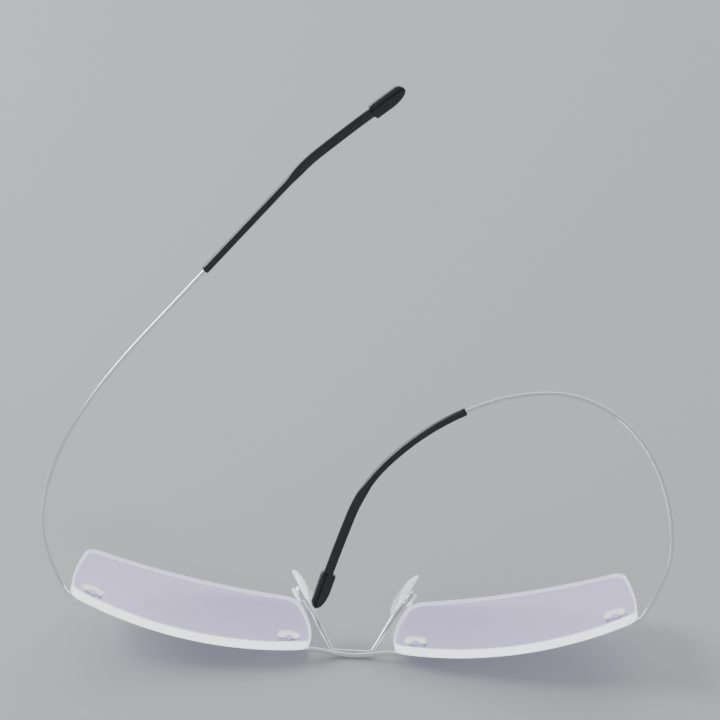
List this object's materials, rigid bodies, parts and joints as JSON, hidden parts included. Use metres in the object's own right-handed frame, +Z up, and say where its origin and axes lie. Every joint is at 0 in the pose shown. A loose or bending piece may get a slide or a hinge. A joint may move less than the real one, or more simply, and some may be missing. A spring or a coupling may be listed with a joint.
{
  "type": "rimless eyeglasses",
  "caption": "Rimless eyeglasses with clear wrapped lenses, a thin wire bridge, silicone nose pads and springy wire temples ending in flattened black sleeves, one temple curled in.",
  "frame": {"origin": "under the middle of the bridge wire, at its lowest point, on the surface the glasses lie on with the lens fronts down", "axes": "+X towards the wearer's left lens, +Y towards the lower edge of the lenses, +Z up, towards the wearer's face"},
  "size_m": [0.138, 0.0322, 0.1247],
  "materials": {
    "lens": "clear optical plastic with a violet anti-reflection coating",
    "bush": "glossy white",
    "wire": "polished",
    "pad_silicone": "clear glossy silicone",
    "lug": "glossy white",
    "sleeve": "glossy black"
  },
  "bodies": {
    "front": {"right_lens": "lens", "left_lens": "lens", "right_outer_bush": "bush", "right_inner_bush": "bush", "left_inner_bush": "bush", "left_outer_bush": "bush", "bridge_wire": "wire", "pad_wire": "wire", "right_temple_root": "wire", "left_temple_root": "wire"},
    "right_pad_swivel": {"right_pad": "pad_silicone", "right_pad_lug": "lug"},
    "left_pad_swivel": {"left_pad": "pad_silicone", "left_pad_lug": "lug"},
    "right_link_1": {"right_wire_1": "wire"},
    "right_link_2": {"right_wire_2": "wire"},
    "right_link_3": {"right_wire_3": "wire"},
    "right_link_4": {"right_wire_4": "wire", "right_sleeve": "sleeve"},
    "right_link_5": {"right_wire_5": "wire", "right_sleeve_tip": "sleeve"},
    "left_link_1": {"left_wire_1": "wire"},
    "left_link_2": {"left_wire_2": "wire"},
    "left_link_3": {"left_wire_3": "wire"},
    "left_link_4": {"left_wire_4": "wire", "left_sleeve": "sleeve"},
    "left_link_5": {"left_wire_5": "wire", "left_sleeve_tip": "sleeve"}
  },
  "joints": [
    {"name": "right_flex_1", "type": "hinge", "parent": "front", "child": "right_link_1", "pos_m": [-0.06098, 0.009, 0.05207], "axis": [0.0751, 0.9678, -0.2403], "range_deg": [-4.3, 16], "stiffness_Nm_per_rad": 0.02},
    {"name": "right_flex_2", "type": "hinge", "parent": "right_link_1", "child": "right_link_2", "pos_m": [-0.05371, 0.01113, 0.06263], "axis": [0.0691, 0.9661, -0.2489], "range_deg": [-7, 26.01], "stiffness_Nm_per_rad": 0.02},
    {"name": "right_flex_3", "type": "hinge", "parent": "right_link_2", "child": "right_link_3", "pos_m": [-0.04679, 0.01282, 0.07101], "axis": [0.0663, 0.9654, -0.2524], "range_deg": [-5.92, 22.01], "stiffness_Nm_per_rad": 0.02},
    {"name": "right_flex_4", "type": "hinge", "parent": "right_link_3", "child": "right_link_4", "pos_m": [-0.03705, 0.01507, 0.08219], "axis": [0.0663, 0.9654, -0.2524], "range_deg": [-4.85, 18.01], "stiffness_Nm_per_rad": 0.02},
    {"name": "right_flex_5", "type": "hinge", "parent": "right_link_4", "child": "right_link_5", "pos_m": [-0.02146, 0.01868, 0.10008], "axis": [0.0663, 0.9654, -0.2524], "range_deg": [-8.07, 30.01], "stiffness_Nm_per_rad": 0.02},
    {"name": "left_flex_1", "type": "hinge", "parent": "front", "child": "left_link_1", "pos_m": [0.06044, 0.00894, 0.05176], "axis": [0.041, -0.9725, 0.2293], "range_deg": [-20.3, 0], "stiffness_Nm_per_rad": 0.02},
    {"name": "left_flex_2", "type": "hinge", "parent": "left_link_1", "child": "left_link_2", "pos_m": [0.05023, 0.01048, 0.05944], "axis": [0.0209, -0.9694, 0.2444], "range_deg": [-33, 0], "stiffness_Nm_per_rad": 0.02},
    {"name": "left_flex_3", "type": "hinge", "parent": "left_link_2", "child": "left_link_3", "pos_m": [0.03949, 0.01086, 0.0613], "axis": [-0.0032, -0.9686, 0.2486], "range_deg": [-27.92, 0], "stiffness_Nm_per_rad": 0.02},
    {"name": "left_flex_4", "type": "hinge", "parent": "left_link_3", "child": "left_link_4", "pos_m": [0.02498, 0.01017, 0.05788], "axis": [-0.0209, -0.9694, 0.2444], "range_deg": [-22.85, 0], "stiffness_Nm_per_rad": 0.02},
    {"name": "left_flex_5", "type": "hinge", "parent": "left_link_4", "child": "left_link_5", "pos_m": [0.00558, 0.00743, 0.04432], "axis": [-0.0386, -0.9719, 0.232], "range_deg": [-38.07, 0], "stiffness_Nm_per_rad": 0.02},
    {"name": "left_pad_swivel", "type": "hinge", "parent": "front", "child": "left_pad_swivel", "pos_m": [0.0119, 0.0093, 0.0104], "axis": [-0.8365, 0.2373, 0.4938], "range_deg": [-10, 10]},
    {"name": "right_pad_swivel", "type": "hinge", "parent": "front", "child": "right_pad_swivel", "pos_m": [-0.0119, 0.0093, 0.0104], "axis": [0.8365, 0.2373, 0.4938], "range_deg": [-10, 10]}
  ],
  "couplings": [
    {"joint": "right_flex_2", "follows": "right_flex_1", "ratio": 1.625},
    {"joint": "right_flex_3", "follows": "right_flex_1", "ratio": 1.375},
    {"joint": "right_flex_4", "follows": "right_flex_1", "ratio": 1.125},
    {"joint": "right_flex_5", "follows": "right_flex_1", "ratio": 1.875},
    {"joint": "left_flex_2", "follows": "left_flex_1", "ratio": 1.625},
    {"joint": "left_flex_3", "follows": "left_flex_1", "ratio": 1.375},
    {"joint": "left_flex_4", "follows": "left_flex_1", "ratio": 1.125},
    {"joint": "left_flex_5", "follows": "left_flex_1", "ratio": 1.875}
  ]
}
